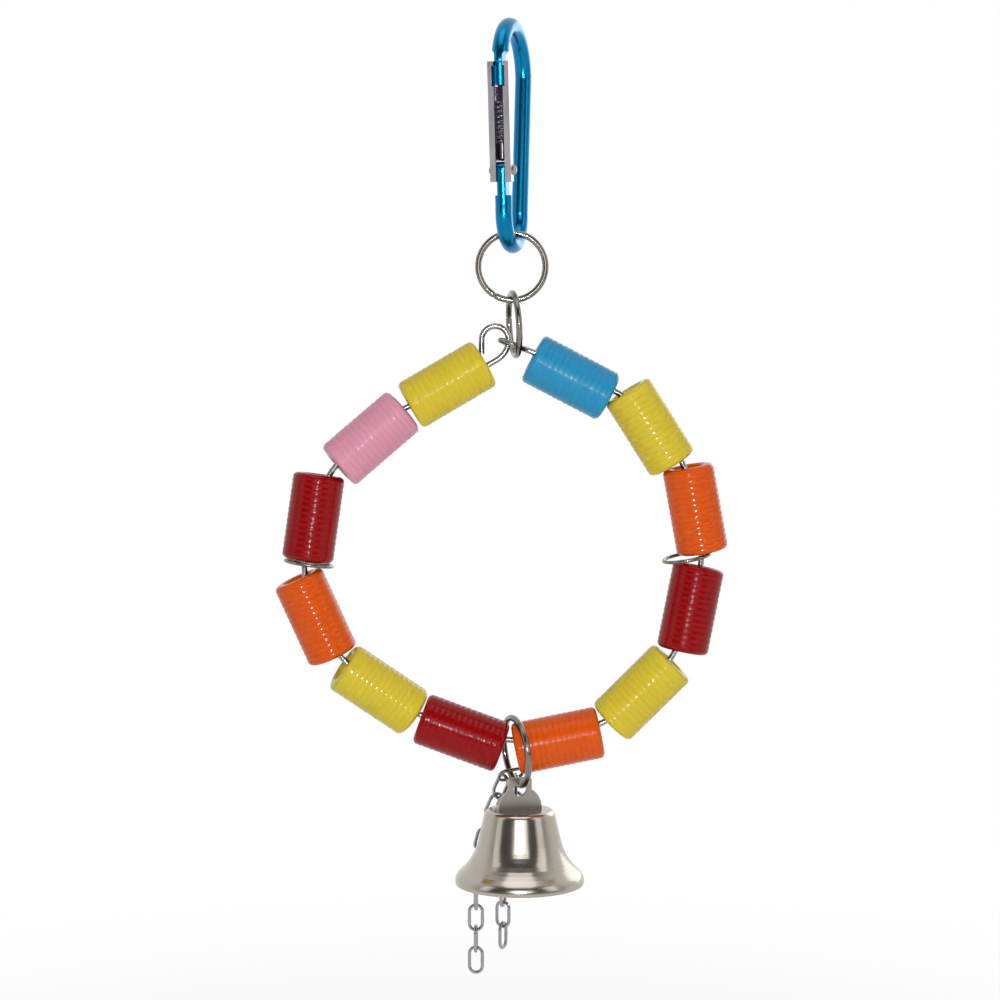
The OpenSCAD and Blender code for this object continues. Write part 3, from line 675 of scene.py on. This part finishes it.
def addFloor(settings):
    mesh = bpy.data.meshes.new("paleFloor")
    half = settings["floorSize"] / 2
    z = settings["floorHeight"]
    corners = [(-half, -half, z), (half, -half, z), (half, half, z), (-half, half, z)]
    mesh.from_pydata(corners, [], [(0, 1, 2, 3)])
    floor = bpy.data.objects.new("paleFloor", mesh)
    scene.collection.objects.link(floor)
    material, tree, shader = newMaterial("palePaper")
    shader.inputs["Base Color"].default_value = (*settings["floorColour"], 1)
    shader.inputs["Roughness"].default_value = settings["floorRoughness"]
    # close to the swing the camera sees part of the lit floor and its shadow, further off white
    place = tree.nodes.new("ShaderNodeTexCoord").outputs["Object"]
    away = addNode(tree, "ShaderNodeVectorMath", {0: place}, operation="LENGTH").outputs["Value"]
    closeShare = 1.0 - settings["shadowShare"]
    whiteShare = smoothRange(tree, away, settings["shadowNear"], settings["shadowFar"], closeShare, 1.0)
    rays = tree.nodes.new("ShaderNodeLightPath").outputs
    cameraSees = product(tree, rays["Is Camera Ray"], whiteShare)
    metalSees = maths(tree, "MAXIMUM", rays["Is Glossy Ray"], rays["Is Transmission Ray"])
    glow = addNode(tree, "ShaderNodeEmission", {"Color": (1, 1, 1, 1), "Strength": 1.0})
    out = next(n for n in tree.nodes if n.type == "OUTPUT_MATERIAL")
    mixShaders(tree, maths(tree, "MAXIMUM", cameraSees, metalSees), shader, glow, out)
    mesh.materials.append(material)


def addWorld(settings):
    # white to the camera, a soft grey sky as light, and white that dims to the front in metal
    world = bpy.data.worlds.new("studioWorld")
    world.use_nodes = True
    tree = world.node_tree
    tree.nodes.clear()
    place = tree.nodes.new("ShaderNodeTexCoord").outputs["Generated"]
    direction = addNode(tree, "ShaderNodeSeparateXYZ", {"Vector": place}).outputs
    ramp = tree.nodes.new("ShaderNodeValToRGB")
    bottom, top = ramp.color_ramp.elements
    bottom.position = settings["skyBottomAt"]
    bottom.color = (*settings["skyBottom"], 1)
    top.position = settings["skyTopAt"]
    top.color = (*settings["skyTop"], 1)
    tree.links.new(maths(tree, "MULTIPLY_ADD", direction["Z"], 0.5, 0.5), ramp.inputs[0])
    start, end = settings["frontStart"], settings["frontEnd"]
    towards = smoothRange(tree, direction["Y"], start, end, 0.0, 1.0)
    dim = maths(tree, "SUBTRACT", 1.0, product(tree, towards, settings["frontDim"]))
    level = product(tree, dim, settings["skyStrength"])
    soft = addNode(tree, "ShaderNodeBackground", {"Color": ramp.outputs[0], "Strength": level})
    rays = tree.nodes.new("ShaderNodeLightPath").outputs
    seen = maths(tree, "MAXIMUM", rays["Is Camera Ray"], rays["Is Transmission Ray"])
    inputs = {"Color": (1, 1, 1, 1), "Strength": maths(tree, "MAXIMUM", seen, dim)}
    white = addNode(tree, "ShaderNodeBackground", inputs)
    out = tree.nodes.new("ShaderNodeOutputWorld")
    mixShaders(tree, maths(tree, "MAXIMUM", seen, rays["Is Glossy Ray"]), soft, white, out)
    scene.world = world


lamps = {
    "keyRight": dict(place=(0.52, -0.28, 0.15), size=(0.25, 0.5), power=0.5),
    "fillLeft": dict(place=(-0.55, -0.25, 0.10), size=(0.2, 0.5), power=0.3),
    "topSoft": dict(place=(0.0, -0.20, 0.55), size=(0.5, 0.4), power=0.90),
    "window": dict(place=(0.04, -0.75, 0.10), size=(0.55, 0.30), power=0.95),
    "flash": dict(place=(-0.002, -0.40, -0.075), size=(0.012, 0.012), power=0.8),
    "backSoft": dict(place=(0.40, 0.55, 0.10), size=(0.5, 0.4), power=0.8),
}


def addLamp(name, settings, target):
    data = bpy.data.lights.new(name, "AREA")
    data.shape = "RECTANGLE"
    data.size, data.size_y = settings["size"]
    data.energy = settings["power"]
    lamp = bpy.data.objects.new(name, data)
    lamp.location = settings["place"]
    aim = Vector(target) - Vector(settings["place"])
    lamp.rotation_euler = aim.to_track_quat("-Z", "Y").to_euler()
    scene.collection.objects.link(lamp)


addFloor(studioSettings)
addWorld(studioSettings)
for name, settings in lamps.items():
    addLamp(name, settings, studioSettings["lampAim"])
print("studio lit")
